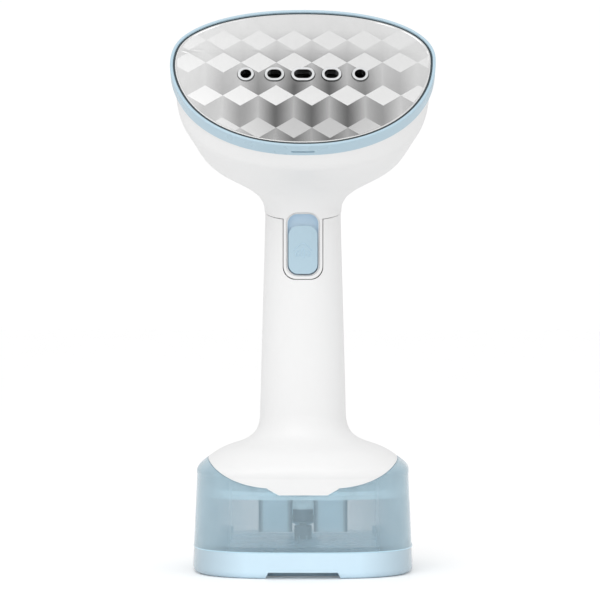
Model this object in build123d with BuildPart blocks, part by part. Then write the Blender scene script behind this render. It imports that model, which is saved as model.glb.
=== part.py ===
from build123d import *
import os
from math import copysign, cos, pi, radians, sin

# Upright handheld garment steamer that stands on its own water tank.
# Millimetres. +Z up, front at -Y, origin on the floor under the axis of the grip.

# Steam head
plate_tilt = 32.0  # the plate leans back this far from the vertical
plate_half_width = 54.2
plate_rise = 24.5  # from the widest line up to the top edge
plate_drop = 43.5  # from the widest line down to the bottom edge
plate_thickness = 2.6
plate_roundness = 2.15  # exponent of the plate's superellipse
rim_width = 2.2  # coloured ring around the plate
rim_proud = 0.6
rim_depth = 6.0
gasket_width = 0.9
flange_width = 5.0  # inner flange of the ring, behind the plate
flange_thickness = 2.8
head_reach = 28.3  # grip axis to the plate's widest line, forwards
head_height = 63.35  # neck seam to the plate's widest line, upwards
neck_tilt = 84.0  # tilt of the bowl's lowest section, inside the neck

# Steam outlets
outlet_pitch = 12.1
outlet_lengths = (4.8, 6.1, 7.7, 6.1, 4.8)
outlet_height = 4.7
outlet_drop = 8.0  # below the plate's widest line
eyelet_rim = 1.05
eyelet_wall = 0.55
eyelet_proud = 0.5

# Grip and shoulder
casing_wall = 2.6
grip_half_width_top = 16.4
grip_half_width_bottom = 18.7
grip_half_depth = 19.6
grip_bottom_z = 70.0
grip_length = 86.2  # from the shoulder to the seam under the head
seam_slope = 0.24  # the seam falls towards the front
seam_gap = 0.3

# Water tank
tank_half_width = 47.9
tank_half_depth = 40.7
tank_wall_z = 42.0  # top of the straight side wall
tank_wall = 1.8
tank_floor = 2.0
base_band = 11.0
base_wall = 2.2
base_round = 2.6
rim_side_z = 49.1  # shoulder's lower edge at the sides
rim_front_z = 37.8  # and at the front and rear
rim_half_span = 41.1
rim_curve = 3.6
rim_gap = 0.35
tab_half_top = 15.0
tab_half_bottom = 10.2
tab_z = 35.2
deck_z = 33.0
deck_thickness = 1.8
dock_z = 36.0
dock_floor = 2.0
dock_gap = 0.4

# Clearances
running_gap = 0.05
moving_gap = 0.4
ample = 300.0  # larger than the whole object, for cutting forms

# Trigger
button_width = 12.5
button_height = 20.6
button_bottom_z = 128.5
button_corner = 4.2
button_proud = 0.5
button_thickness = 2.6
lock_travel = 4.0
lock_stop = 1.1  # left above the button at the end of that travel
panel_half_width = 8.4
panel_bottom_z = 126.3
panel_corner = 5.5

# Pump
pump_y = 7.0
pump_z = 80.0
pump_length = 44.0
pump_bore = 3.05
pump_radius = 4.2
coil_radius = 7.4
hose_radius = 2.9
barb_radius = 2.0
barb_bore = 1.1

seam_z = grip_bottom_z + grip_length
rim_half_width = plate_half_width + rim_width
tilt = radians(plate_tilt)
plate_plane = Plane(
    origin=(0, -head_reach, seam_z + head_height),
    x_dir=(1, 0, 0),
    z_dir=(0, -cos(tilt), sin(tilt)),
)
plate_axis = Axis(plate_plane.origin, plate_plane.z_dir)

os.makedirs("parts", exist_ok=True)


def save(builder, name):
    """Label a finished piece and write it."""
    builder.part.label = name
    export_step(builder.part, f"parts/{name}.step")


def outline(half_width, front, rear, exponent, count=20):
    """Points of a superellipse whose front and rear halves have their own depth."""
    points = []
    for step in range(count):
        angle = 2 * pi * step / count
        across, along = cos(angle), sin(angle)
        depth = rear if along > 0 else front
        points.append(
            (
                half_width * copysign(abs(across) ** (2 / exponent), across),
                depth * copysign(abs(along) ** (2 / exponent), along),
            )
        )
    return points


def section(half_width, front, rear, exponent):
    """One closed section as a sketch."""
    with BuildSketch() as shape:
        with BuildLine():
            Spline(outline(half_width, front, rear, exponent), periodic=True)
        make_face()
    return shape.sketch


def egg(grow):
    """The plate's outline as a sketch, grown by a margin."""
    return section(
        plate_half_width + grow,
        plate_drop + grow,
        plate_rise + grow,
        plate_roundness,
    )


def loft_form(stations, inset):
    """Loft through (y, z, tilt, half width, front, rear, exponent) stations."""
    with BuildPart() as form:
        for y, z, lean, half_width, front, rear, exponent in stations:
            turn = radians(lean)
            plane = Plane(
                origin=(0, y, z),
                x_dir=(1, 0, 0),
                z_dir=(0, -cos(turn), sin(turn)),
            )
            with BuildSketch(plane):
                add(section(half_width - inset, front - inset, rear - inset, exponent))
        loft()
    return form.part


def head_stations():
    """Bowl of the head, from the back of the coloured ring down to the grip.
    Shares of reach, height and size run from 1 at the ring to 0 at the grip,
    and the share of turn from 0 at the ring to 1 at the grip."""
    shares = (  # reach, height, turn, width, front, rear, exponent
        (1.0, 1.0, 0.0, 1.0, 1.0, 1.0, 2.15),
        (0.69, 0.808, 0.192, 0.940, 0.877, 1.24, 2.2),
        (0.41, 0.615, 0.423, 0.830, 0.715, 1.18, 2.2),
        (0.224, 0.452, 0.615, 0.706, 0.538, 0.97, 2.2),
        (0.10, 0.306, 0.769, 0.510, 0.354, 0.68, 2.2),
        (0.03, 0.160, 0.865, 0.145, 0.154, 0.34, 2.2),
        (0.0, 0.015, 0.923, 0.010, 0.027, 0.06, 2.2),
        (0.0, -0.153, 1.0, 0.008, 0.0, 0.0, 2.2),
    )
    reach = head_reach - rim_depth * cos(tilt)
    height = head_height - rim_depth * sin(tilt)
    stations = []
    for along, up, turn, wide, front, rear, exponent in shares:
        stations.append(
            (
                -reach * along,
                seam_z + height * up,
                plate_tilt + (neck_tilt - plate_tilt) * turn,
                grip_half_width_top + (rim_half_width - grip_half_width_top) * wide,
                grip_half_depth + (plate_drop + rim_width - grip_half_depth) * front,
                grip_half_depth + (plate_rise + rim_width - grip_half_depth) * rear,
                exponent,
            )
        )
    return stations


def grip_stations():
    """Grip, straight and slightly waisted, up into the head."""
    stations = []
    for share, depth in ((0.0, 0.7), (0.3, 0.1), (0.6, -0.2), (0.9, -0.1), (1.15, 0.0)):
        half_width = (
            grip_half_width_bottom
            + (grip_half_width_top - grip_half_width_bottom) * min(share, 1.0)
        )
        half_depth = grip_half_depth + depth
        z = grip_bottom_z + grip_length * share
        stations.append((0, z, 90, half_width, half_depth, half_depth, 2.2))
    return stations


def shoulder_stations():
    """Flare from the tank wall up to the grip. Shares run from 0 at the grip to 1 at the tank."""
    shares = (  # height, width and depth shares, exponent
        (0.0, 0.0, 0.0, 2.2),
        (0.214, 0.018, 0.036, 2.2),
        (0.393, 0.114, 0.151, 2.25),
        (0.536, 0.399, 0.432, 2.4),
        (0.643, 0.667, 0.693, 2.55),
        (0.75, 0.828, 0.849, 2.7),
        (0.857, 0.960, 0.969, 2.85),
        (1.0, 1.0, 1.0, 3.0),
    )
    top_depth = grip_half_depth + 0.7
    wall_half_width = tank_half_width - 1.9
    wall_half_depth = tank_half_depth - 1.2
    stations = []
    for down, wide, deep, exponent in shares:
        half_width = grip_half_width_bottom + (wall_half_width - grip_half_width_bottom) * wide
        half_depth = top_depth + (wall_half_depth - top_depth) * deep
        z = grip_bottom_z + (tank_wall_z - grip_bottom_z) * down
        stations.append((0, z, 90, half_width, half_depth, half_depth, exponent))
    return stations


def tank_stations():
    """Side wall of the tank, drafted inwards towards the top."""
    stations = []
    for share in (0.0, 0.25, 0.5, 0.75, 1.0):
        half_width = tank_half_width - 1.9 * share
        half_depth = tank_half_depth - 1.2 * share
        stations.append((0, tank_wall_z * share, 90, half_width, half_depth, half_depth, 3.0))
    return stations


def body_form(inset):
    """Tank, shoulder and grip as one closed form, inset by a margin."""
    with BuildPart() as form:
        add(loft_form(tank_stations(), inset))
        add(loft_form(shoulder_stations(), inset))
        add(loft_form(grip_stations(), inset))
    return form.part


def lower_form(inset):
    """Tank and shoulder alone, inset by a margin."""
    with BuildPart() as form:
        add(loft_form(tank_stations(), inset))
        add(loft_form(shoulder_stations(), inset))
    return form.part


def shoulder_size(height):
    """Half width and half depth of the shoulder at a height."""
    stations = shoulder_stations()
    for upper, lower in zip(stations, stations[1:]):
        if lower[1] <= height <= upper[1]:
            share = (upper[1] - height) / (upper[1] - lower[1])
            half_width = upper[3] + (lower[3] - upper[3]) * share
            half_depth = upper[4] + (lower[4] - upper[4]) * share
            return half_width, half_depth
    return tank_half_width, tank_half_depth


def rim_height(x):
    """Height of the shoulder's lower edge at a distance from the middle."""
    return rim_front_z + (rim_side_z - rim_front_z) * (abs(x) / rim_half_span) ** rim_curve


def below_rim(drop):
    """Everything under the shoulder's edge, lowered by a gap, with room for the front tab."""
    reach = rim_half_span * 1.22
    across = [reach * (step - 8) / 8 for step in range(17)]
    with BuildPart() as region:
        with BuildSketch(Plane.XZ.offset(-100)):
            with BuildLine():
                Spline([(x, rim_height(x) - drop) for x in across])
                Polyline(
                    (reach, rim_height(reach) - drop),
                    (reach, -10),
                    (-reach, -10),
                    (-reach, rim_height(reach) - drop),
                )
            make_face()
        extrude(amount=200)
        with BuildSketch(Plane.XZ):
            with BuildLine():
                Polyline(
                    (-tab_half_top - drop, rim_front_z + 5),
                    (-tab_half_top - drop, rim_front_z),
                    (-tab_half_bottom - drop, tab_z - drop),
                    (tab_half_bottom + drop, tab_z - drop),
                    (tab_half_top + drop, rim_front_z),
                    (tab_half_top + drop, rim_front_z + 5),
                    close=True,
                )
            make_face()
        extrude(amount=100, mode=Mode.SUBTRACT)
    return region.part


def slab(bottom, top):
    """A wide flat slab between two heights."""
    with BuildPart() as layer:
        with BuildSketch(Plane.XY.offset(bottom)):
            Rectangle(ample, ample)
        extrude(amount=top - bottom)
    return layer.part


def above_seam(raise_by):
    """Everything over the sloping seam between the head and the grip."""
    seam_normal = Vector(0, -seam_slope, 1).normalized()
    plane = Plane(origin=(0, 0, seam_z + raise_by), x_dir=(1, 0, 0), z_dir=seam_normal)
    with BuildPart() as region:
        with BuildSketch(plane):
            Rectangle(ample, ample)
        extrude(amount=ample)
    return region.part


def tongue(grow):
    """Panel of the head that runs down the front of the grip around the trigger."""
    half = panel_half_width + grow
    bottom = panel_bottom_z - grow
    with BuildPart() as region:
        with BuildSketch(Plane.XZ.offset(5)):
            with Locations((0, (bottom + seam_z) / 2)):
                RectangleRounded(2 * half, seam_z - bottom, panel_corner)
            with Locations((0, seam_z - 4)):
                Rectangle(2 * half, 12)
        extrude(amount=40)
    return region.part


def on_plate(x, y, w):
    """World place of a point given across, up and out of the plate."""
    return plate_plane.from_local_coords(Vector(x, y, w))


def pipe(points, radii, outer, bore):
    """Tube of straight runs and tangent arcs."""
    with BuildPart() as tube:
        with BuildLine() as route:
            FilletPolyline(*points, radius=radii)
        start = Plane(origin=route.line @ 0, z_dir=route.line % 0)
        with BuildSketch(start):
            Circle(outer)
            if bore:
                Circle(bore, mode=Mode.SUBTRACT)
        sweep()
    return tube.part


def cylinder_up(x, y, bottom, top, radius):
    """Upright cylinder between two heights."""
    with BuildPart() as round_bar:
        with BuildSketch(Plane.XY.offset(bottom)):
            with Locations((x, y)):
                Circle(radius)
        extrude(amount=top - bottom)
    return round_bar.part


def cylinder_back(x, z, front, rear, radius):
    """Level cylinder between two places along Y."""
    with BuildPart() as round_bar:
        with BuildSketch(Plane(origin=(x, front, z), x_dir=(1, 0, 0), z_dir=(0, 1, 0))):
            Circle(radius)
        extrude(amount=rear - front)
    return round_bar.part


def block(x_range, y_range, z_range):
    """Plain block between two corners."""
    with BuildPart() as solid_block:
        with BuildSketch(Plane.XY.offset(z_range[0])):
            with Locations(((x_range[0] + x_range[1]) / 2, (y_range[0] + y_range[1]) / 2)):
                Rectangle(x_range[1] - x_range[0], y_range[1] - y_range[0])
        extrude(amount=z_range[1] - z_range[0])
    return solid_block.part


outer_head = loft_form(head_stations(), 0)
inner_head = loft_form(head_stations(), casing_wall)
outer_body = body_form(0)
inner_body = body_form(casing_wall)
boss_limit = body_form(casing_wall / 2)
tank_hollow = lower_form(tank_wall)


# ---- Steam head ----

# Coloured ring: a band around the plate with an inner flange that carries the heater.
ring_back = -rim_depth
flange_front = ring_back + flange_thickness
lug_x_upper = plate_half_width - 7.3
lug_x_lower = plate_half_width - 14.3
lug_places = [
    (lug_x_upper, 6.0),
    (lug_x_lower, -23.2),
    (-lug_x_upper, 6.0),
    (-lug_x_lower, -23.2),
]
lug_screw_radius = 1.25
boss_radius = 2.3
with BuildPart() as bezel_ring:
    with BuildSketch(plate_plane.offset(ring_back)):
        add(egg(rim_width))
        add(egg(-flange_width), mode=Mode.SUBTRACT)
    extrude(amount=rim_depth + rim_proud)
    with BuildSketch(plate_plane.offset(flange_front)):
        add(egg(gasket_width))
    extrude(amount=rim_depth + rim_proud, mode=Mode.SUBTRACT)
    front_edges = bezel_ring.faces().sort_by(plate_axis)[-1].edges()
    fillet(front_edges, 0.5)
    # small slot in the band under the plate
    with BuildSketch(plate_plane.offset(-4.2)):
        with Locations((0, -plate_drop - rim_width)):
            Rectangle(9.6, 2.0)
    extrude(amount=0.9, mode=Mode.SUBTRACT)
    # tapped bosses for the heater's screws, on the inner edge of the flange
    with BuildSketch(plate_plane.offset(ring_back)):
        with Locations(*lug_places):
            Circle(boss_radius)
    extrude(amount=flange_thickness)
    with BuildSketch(plate_plane.offset(ring_back)):
        with Locations(*lug_places):
            Circle(lug_screw_radius + running_gap)
    extrude(amount=flange_thickness, mode=Mode.SUBTRACT)
save(bezel_ring, "bezel_ring")

with BuildPart() as plate_gasket:
    with BuildSketch(plate_plane.offset(-plate_thickness)):
        add(egg(gasket_width - 0.04))
        add(egg(0.04), mode=Mode.SUBTRACT)
    extrude(amount=plate_thickness - 0.3)
save(plate_gasket, "plate_gasket")

outlet_places = [
    ((index - 2) * outlet_pitch, -outlet_drop, length)
    for index, length in enumerate(outlet_lengths)
]


def outlet(x, y, length, grow):
    """Round-ended opening of one steam outlet, grown by a margin."""
    with BuildSketch() as shape:
        with Locations((x, y)):
            if length - outlet_height < 0.2:
                Circle(outlet_height / 2 + grow)
            else:
                SlotOverall(length + 2 * grow, outlet_height + 2 * grow)
    return shape.sketch


with BuildPart() as steam_plate:
    with BuildSketch(plate_plane.offset(-plate_thickness)):
        add(egg(0))
        for x, y, length in outlet_places:
            add(outlet(x, y, length, eyelet_wall + running_gap), mode=Mode.SUBTRACT)
    extrude(amount=plate_thickness)
save(steam_plate, "steam_plate")

with BuildPart() as steam_nozzles:
    with BuildSketch(plate_plane.offset(-plate_thickness)):
        for x, y, length in outlet_places:
            add(outlet(x, y, length, eyelet_wall))
            add(outlet(x, y, length, 0), mode=Mode.SUBTRACT)
    extrude(amount=plate_thickness)
    with BuildSketch(plate_plane):
        for x, y, length in outlet_places:
            add(outlet(x, y, length, eyelet_rim))
            add(outlet(x, y, length, 0), mode=Mode.SUBTRACT)
    extrude(amount=eyelet_proud)
save(steam_nozzles, "steam_nozzles")

# Steam chamber: cast block with a labyrinth, sealed to the back of the plate.
seal_thickness = 0.8
heater_front = -plate_thickness - seal_thickness
heater_back = -15.0
heater_margin = -8.0
chamber_margin = -12.0
chamber_depth = 7.0
inlet_drop = 16.0
element_radius = 3.2
element_half_span = 22.0
element_top = 8.0
element_bend = -6.0
lug_radius = 2.7
lug_root = 6.0
lug_thickness = 3.0
lug_back = ring_back - running_gap - lug_thickness
screw_head = 2.0

with BuildPart() as chamber_seal:
    with BuildSketch(plate_plane.offset(heater_front)):
        add(egg(heater_margin - 0.5))
        add(egg(chamber_margin + 0.5), mode=Mode.SUBTRACT)
    extrude(amount=seal_thickness)
save(chamber_seal, "chamber_seal")


def element_rod(radius, top):
    """U-shaped rod along the back of the heater, up to a height on the plate."""
    back = plate_plane.offset(heater_back)
    with BuildPart() as rod:
        with BuildLine(back) as route:
            leg = Line((-element_half_span, top), (-element_half_span, element_bend))
            bend = ThreePointArc(
                leg @ 1,
                (0, element_bend - element_half_span),
                (element_half_span, element_bend),
            )
            Line(bend @ 1, (element_half_span, top))
        with BuildSketch(Plane(origin=route.line @ 0, z_dir=route.line % 0)):
            Circle(radius)
        sweep()
    return rod.part


with BuildPart() as heater_block:
    with BuildSketch(plate_plane.offset(heater_back)):
        add(egg(heater_margin))
    extrude(amount=heater_front - heater_back)
    with BuildSketch(plate_plane.offset(heater_front)):
        add(egg(chamber_margin))
        for x in (-20, 20):
            with Locations((x, -6)):
                Rectangle(2.4, 26, mode=Mode.SUBTRACT)
        with Locations((0, -22)):
            Rectangle(24, 2.4, mode=Mode.SUBTRACT)
    extrude(amount=-chamber_depth, mode=Mode.SUBTRACT)
    # lugs that lap the ring's bosses
    with BuildSketch(plate_plane.offset(lug_back)):
        for x, y in lug_places:
            with Locations((x, y)):
                Circle(lug_radius)
            with Locations((x - copysign(lug_root / 2, x), y)):
                Rectangle(lug_root, 2 * lug_radius)
    extrude(amount=lug_thickness)
    with BuildSketch(plate_plane.offset(lug_back)):
        with Locations(*lug_places):
            Circle(lug_screw_radius + 0.2)
    extrude(amount=lug_thickness, mode=Mode.SUBTRACT)
    # water inlet spout on the back
    with BuildSketch(plate_plane.offset(heater_back - 8)):
        with Locations((0, -inlet_drop)):
            Circle(barb_radius)
    extrude(amount=8.5)
    with BuildSketch(plate_plane.offset(heater_back - 8)):
        with Locations((0, -inlet_drop)):
            Circle(barb_bore)
    extrude(amount=14, mode=Mode.SUBTRACT)
    add(element_rod(element_radius + running_gap, plate_rise), mode=Mode.SUBTRACT)
save(heater_block, "heater_block")

with BuildPart() as heating_element:
    add(element_rod(element_radius, element_top))
save(heating_element, "heating_element")

with BuildPart() as element_terminals:
    for x in (-element_half_span, element_half_span):
        end = on_plate(x, element_top, heater_back)
        with BuildSketch(Plane(origin=end, z_dir=plate_plane.y_dir)):
            Circle(1.2)
        extrude(amount=5)
        tab = on_plate(x, element_top + 5, heater_back)
        with BuildSketch(Plane(origin=tab, x_dir=(1, 0, 0), z_dir=plate_plane.y_dir)):
            Rectangle(4.8, 0.8)
        extrude(amount=3)
save(element_terminals, "element_terminals")

with BuildPart() as heater_screws:
    with BuildSketch(plate_plane.offset(lug_back)):
        with Locations(*lug_places):
            Circle(screw_head)
    extrude(amount=-1.4)
    with BuildSketch(plate_plane.offset(lug_back)):
        with Locations(*lug_places):
            Circle(lug_screw_radius)
    extrude(amount=lug_thickness + flange_thickness - 0.3)
save(heater_screws, "heater_screws")

with BuildPart() as thermostat:
    with BuildSketch(plate_plane.offset(heater_back)):
        with Locations((0, 1)):
            Circle(6.2)
            Rectangle(19, 5)
    extrude(amount=-1.0)
    with BuildSketch(plate_plane.offset(heater_back - 1)):
        with Locations((0, 1)):
            Circle(5.4)
    extrude(amount=-4.5)
    with BuildSketch(plate_plane.offset(heater_back - 5.5)):
        with Locations((-3, 1), (3, 1)):
            Rectangle(0.8, 4.2)
    extrude(amount=-3)
save(thermostat, "thermostat")

fuse_radius = 1.9
with BuildPart() as thermal_fuse:
    fuse_place = on_plate(0, 12.5, heater_back - fuse_radius)
    with BuildSketch(Plane(origin=fuse_place, z_dir=(1, 0, 0))):
        Circle(fuse_radius)
    extrude(amount=6, both=True)
    with BuildSketch(Plane(origin=fuse_place, z_dir=(1, 0, 0))):
        Circle(0.5)
    extrude(amount=10, both=True)
save(thermal_fuse, "thermal_fuse")

shield_w = heater_back - 10.0
shield_posts = [(-30, 4), (30, 4), (-10, -13), (10, -13)]
with BuildPart() as heat_shield:
    with BuildSketch(plate_plane.offset(shield_w)):
        with Locations((0, -8)):
            RectangleRounded(70, 38, 12)
        with Locations((0, -inlet_drop)):
            Circle(5, mode=Mode.SUBTRACT)
    extrude(amount=-0.6)
    with BuildSketch(plate_plane.offset(shield_w)):
        with Locations(*shield_posts):
            Circle(2)
    extrude(amount=heater_back - shield_w)
save(heat_shield, "heat_shield")

# ---- Casing ----

# Wall of the grip and shoulder, between the seam and the tank's rim.
with BuildPart() as body_wall:
    add(outer_body)
    add(inner_body, mode=Mode.SUBTRACT)
    add(below_rim(0), mode=Mode.SUBTRACT)
grip_wall = body_wall.part

button_top_z = button_bottom_z + button_height
recess_half = button_width / 2 + moving_gap
recess_bottom = button_bottom_z - moving_gap
recess_top = button_top_z + lock_travel + lock_stop
recess_mid = (recess_bottom + recess_top) / 2
recess_height = recess_top - recess_bottom


def recess(grow, depth):
    """Rounded pocket for the trigger, open to the front."""
    with BuildPart() as pocket:
        with BuildSketch(Plane.XZ.offset(depth)):
            with Locations((0, recess_mid)):
                RectangleRounded(
                    2 * (recess_half + grow),
                    recess_height + 2 * grow,
                    button_corner + grow,
                )
        extrude(amount=40)
    return pocket.part


with BuildPart() as trigger_panel:
    add(grip_wall)
    add(tongue(0), mode=Mode.INTERSECT)
    add(above_seam(seam_gap / 2), mode=Mode.SUBTRACT)
panel_wall = trigger_panel.part

with BuildPart() as head_shell:
    add(outer_head)
    add(inner_head, mode=Mode.SUBTRACT)
    add(above_seam(seam_gap / 2), mode=Mode.INTERSECT)
    add(panel_wall)
    add(recess(0.6, 5), mode=Mode.SUBTRACT)
save(head_shell, "head_shell")

# Sleeve inside the neck that the head is glued onto.
sleeve_wall = 1.6
sleeve_below = 14.0
sleeve_above = 2.0
with BuildPart() as neck_sleeve:
    add(loft_form(grip_stations(), casing_wall + running_gap))
    add(loft_form(grip_stations(), casing_wall + sleeve_wall), mode=Mode.SUBTRACT)
    add(slab(seam_z - sleeve_below, seam_z + sleeve_above), mode=Mode.INTERSECT)
    # open at the front, where the trigger sits
    add(block((-12, 12), (-30, -4), (seam_z - 30, seam_z + 30)), mode=Mode.SUBTRACT)
save(neck_sleeve, "neck_sleeve")

case_screw_x = 11.6
case_screw_z = (82.0, 120.0)
dock_bosses = [(22, 16), (-22, 16), (22, -16), (-22, -16)]
pump_saddles = (pump_z + 3.0, pump_z + pump_length - 7.0)
saddle_width = 3.6

with BuildPart() as grip_bosses:
    for z in case_screw_z:
        for x in (-case_screw_x, case_screw_x):
            add(cylinder_back(x, z, -16, 16, 3.2))
    for x, y in dock_bosses:
        add(cylinder_up(x, y, dock_z + dock_floor, 60, 3.4))
    add(boss_limit, mode=Mode.INTERSECT)
boss_solids = grip_bosses.part

board_front = -4.6
board_back = -3.0
board_screw_places = [(7.0, 88.0), (-7.0, 128.0)]

with BuildPart() as handle_front_shell:
    add(grip_wall)
    add(boss_solids)
    for x, z in board_screw_places:
        add(cylinder_back(x, z, -17, board_front, 2.4))
    split(bisect_by=Plane.XZ, keep=Keep.TOP)
    add(above_seam(-seam_gap / 2), mode=Mode.SUBTRACT)
    add(tongue(seam_gap), mode=Mode.SUBTRACT)
    for z in case_screw_z:
        for x in (-case_screw_x, case_screw_x):
            add(cylinder_back(x, z, -9, 1, 1.05), mode=Mode.SUBTRACT)
    for x, y in dock_bosses:
        add(cylinder_up(x, y, dock_z, 48, 1.05), mode=Mode.SUBTRACT)
    for x, z in board_screw_places:
        add(cylinder_back(x, z, -11, board_front, 0.85), mode=Mode.SUBTRACT)
save(handle_front_shell, "handle_front_shell")

gland_z = 72.0
gland_radius = 4.2
cord_bore = 2.9
clamp_half = 8.0
clamp_front = 11.2
clamp_back = 13.4
clamp_screw = 0.8
mount_radius = 6.5
with BuildPart() as rear_supports:
    for z in pump_saddles:
        add(block((-9, 9), (9, 20), (z, z + saddle_width)))
    for x in (-clamp_half, clamp_half):
        add(cylinder_back(x, gland_z, clamp_back, 19, 2.0))
    add(boss_limit, mode=Mode.INTERSECT)
    add(
        cylinder_up(0, pump_y, pump_z - 10, pump_z + pump_length + 10, mount_radius + running_gap),
        mode=Mode.SUBTRACT,
    )
support_solids = rear_supports.part

with BuildPart() as handle_rear_shell:
    add(grip_wall)
    add(boss_solids)
    add(support_solids)
    split(bisect_by=Plane.XZ, keep=Keep.BOTTOM)
    add(above_seam(-seam_gap / 2), mode=Mode.SUBTRACT)
    for z in case_screw_z:
        for x in (-case_screw_x, case_screw_x):
            add(cylinder_back(x, z, -1, 25, 1.35), mode=Mode.SUBTRACT)
            add(cylinder_back(x, z, 8, 25, 2.3), mode=Mode.SUBTRACT)
    for x, y in dock_bosses:
        add(cylinder_up(x, y, dock_z, 48, 1.05), mode=Mode.SUBTRACT)
    add(cylinder_back(0, gland_z, 12, 30, gland_radius + running_gap), mode=Mode.SUBTRACT)
    for x in (-clamp_half, clamp_half):
        add(cylinder_back(x, gland_z, 13, 17, clamp_screw + running_gap), mode=Mode.SUBTRACT)
save(handle_rear_shell, "handle_rear_shell")

with BuildPart() as case_screws:
    for z in case_screw_z:
        for x in (-case_screw_x, case_screw_x):
            add(cylinder_back(x, z, -8, 8, 1.0))
            add(cylinder_back(x, z, 6.4 + 1.6, 9.6, 2.1))
save(case_screws, "case_screws")

with BuildPart() as cord_gland:
    add(cylinder_back(0, gland_z, 14.6, 22.6, gland_radius))
    add(cylinder_back(0, gland_z, 14.6, 16.6, 5.2))
    add(cylinder_back(0, gland_z, 20.9, 22.6, 5.6))
    add(cylinder_back(0, gland_z, 10, 30, cord_bore), mode=Mode.SUBTRACT)
save(cord_gland, "cord_gland")

with BuildPart() as cord_clamp:
    add(block((-10, 10), (clamp_front, clamp_back), (gland_z - 2.5, gland_z + 2.5)))
    for x in (-clamp_half, clamp_half):
        add(cylinder_back(x, gland_z, 10, 15, 1.1), mode=Mode.SUBTRACT)
save(cord_clamp, "cord_clamp")

with BuildPart() as clamp_screws:
    for x in (-clamp_half, clamp_half):
        add(cylinder_back(x, gland_z, clamp_front, 16.5, clamp_screw))
        add(cylinder_back(x, gland_z, clamp_front - 1.4, clamp_front, 1.8))
save(clamp_screws, "clamp_screws")

# ---- Trigger ----

tray_front = -15.2
tray_back = -14.2
tray_wall = 0.55
window_half = 3.4
pin_y = -12.6
pin_z = button_bottom_z + 3.0
pin_radius = 1.0
carriage_front = -13.8
carriage_back = -12.3
cheek_inner = 3.15
cheek_thickness = 1.55
rib_back = -10.6
rib_bottom = button_bottom_z + 9.5
rib_top = button_bottom_z + 15.9

with BuildPart() as trigger_surround:
    with BuildSketch(Plane.XZ.offset(-tray_back)):
        with Locations((0, recess_mid)):
            RectangleRounded(
                2 * (recess_half + tray_wall),
                recess_height + 2 * tray_wall,
                button_corner + tray_wall,
            )
    extrude(amount=4)
    with BuildSketch(Plane.XZ.offset(-tray_front)):
        with Locations((0, recess_mid)):
            RectangleRounded(2 * recess_half, recess_height, button_corner)
    extrude(amount=10, mode=Mode.SUBTRACT)
    add(loft_form(grip_stations(), 0.5), mode=Mode.INTERSECT)
    add(
        block((-window_half, window_half), (-20, -10), (pin_z - 2.4, rib_top + lock_travel + moving_gap)),
        mode=Mode.SUBTRACT,
    )
    # rails that guide the lock slide behind the tray
    for side in (-1, 1):
        outer, inner, lip = side * 7.0, side * 5.8, side * 5.0
        add(block(sorted((inner, outer)), (tray_back, -11.0), (button_bottom_z, rib_top + 6)))
        add(block(sorted((lip, inner)), (-12.0, -11.0), (button_bottom_z, rib_top + 6)))
save(trigger_surround, "trigger_surround")

with BuildPart() as lock_slide:
    add(block((-5.5, 5.5), (carriage_front, carriage_back), (pin_z - 2.2, rib_top + 1.6)))
    add(
        block((-cheek_inner, cheek_inner), (-20, -5), (pin_z - 10, rib_top + 0.6)),
        mode=Mode.SUBTRACT,
    )
    for side in (-1, 1):
        with BuildSketch(Plane.YZ.offset(side * cheek_inner)):
            with Locations((pin_y + 0.2, pin_z)):
                Rectangle(2.6, 4.4)
        extrude(amount=side * cheek_thickness)
    with BuildSketch(Plane.YZ):
        with Locations((pin_y, pin_z)):
            Circle(pin_radius + 0.02)
    extrude(amount=10, both=True, mode=Mode.SUBTRACT)
save(lock_slide, "lock_slide")

with BuildPart() as trigger_pin:
    with BuildSketch(Plane.YZ):
        with Locations((pin_y, pin_z)):
            Circle(pin_radius)
    extrude(amount=4.7, both=True)
save(trigger_pin, "trigger_pin")

with BuildPart() as trigger_button:
    with BuildSketch(Plane.XZ.offset(17.4)):
        with Locations((0, (button_bottom_z + button_top_z) / 2)):
            RectangleRounded(button_width, button_height, button_corner)
    extrude(amount=5)
    add(loft_form(grip_stations(), -button_proud), mode=Mode.INTERSECT)
    add(block((-1.0, 1.0), (-17.6, rib_back), (rib_bottom, rib_top)))
    for side in (-1, 1):
        with BuildSketch(Plane.YZ.offset(side * 1.5)):
            with Locations((pin_y, pin_z)):
                Circle(1.9)
            with Locations(((pin_y - 17.5) / 2, pin_z)):
                Rectangle(17.5 + pin_y, 3.8)
        extrude(amount=side * 1.3)
    with BuildSketch(Plane.YZ):
        with Locations((pin_y, pin_z)):
            Circle(pin_radius + running_gap)
    extrude(amount=3.1, both=True, mode=Mode.SUBTRACT)
save(trigger_button, "trigger_button")

# Torsion spring around the pin, between the button's two lugs.
spring_half = 1.1
spring_wire = 0.24
with BuildPart() as trigger_spring:
    with BuildLine() as coil:
        Helix(
            pitch=0.62,
            height=2 * spring_half,
            radius=pin_radius + spring_wire + 0.18,
            center=(-spring_half, pin_y, pin_z),
            direction=(1, 0, 0),
        )
    with BuildSketch(Plane(origin=coil.line @ 0, z_dir=coil.line % 0)):
        Circle(spring_wire)
    sweep(is_frenet=True)
save(trigger_spring, "trigger_spring")

# ---- Controls inside the grip ----

switch_z = button_bottom_z + 14.0
plunger_front = rib_back + moving_gap
switch_front = -9.0
with BuildPart() as microswitch:
    add(block((-3.2, 3.2), (switch_front, board_front), (switch_z - 3.4, switch_z + 3.4)))
    add(cylinder_back(0, switch_z, -10, -6.4, 1.35), mode=Mode.SUBTRACT)
save(microswitch, "microswitch")

with BuildPart() as switch_plunger:
    add(cylinder_back(0, switch_z, plunger_front, -7.4, 1.3))
save(switch_plunger, "switch_plunger")

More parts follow.
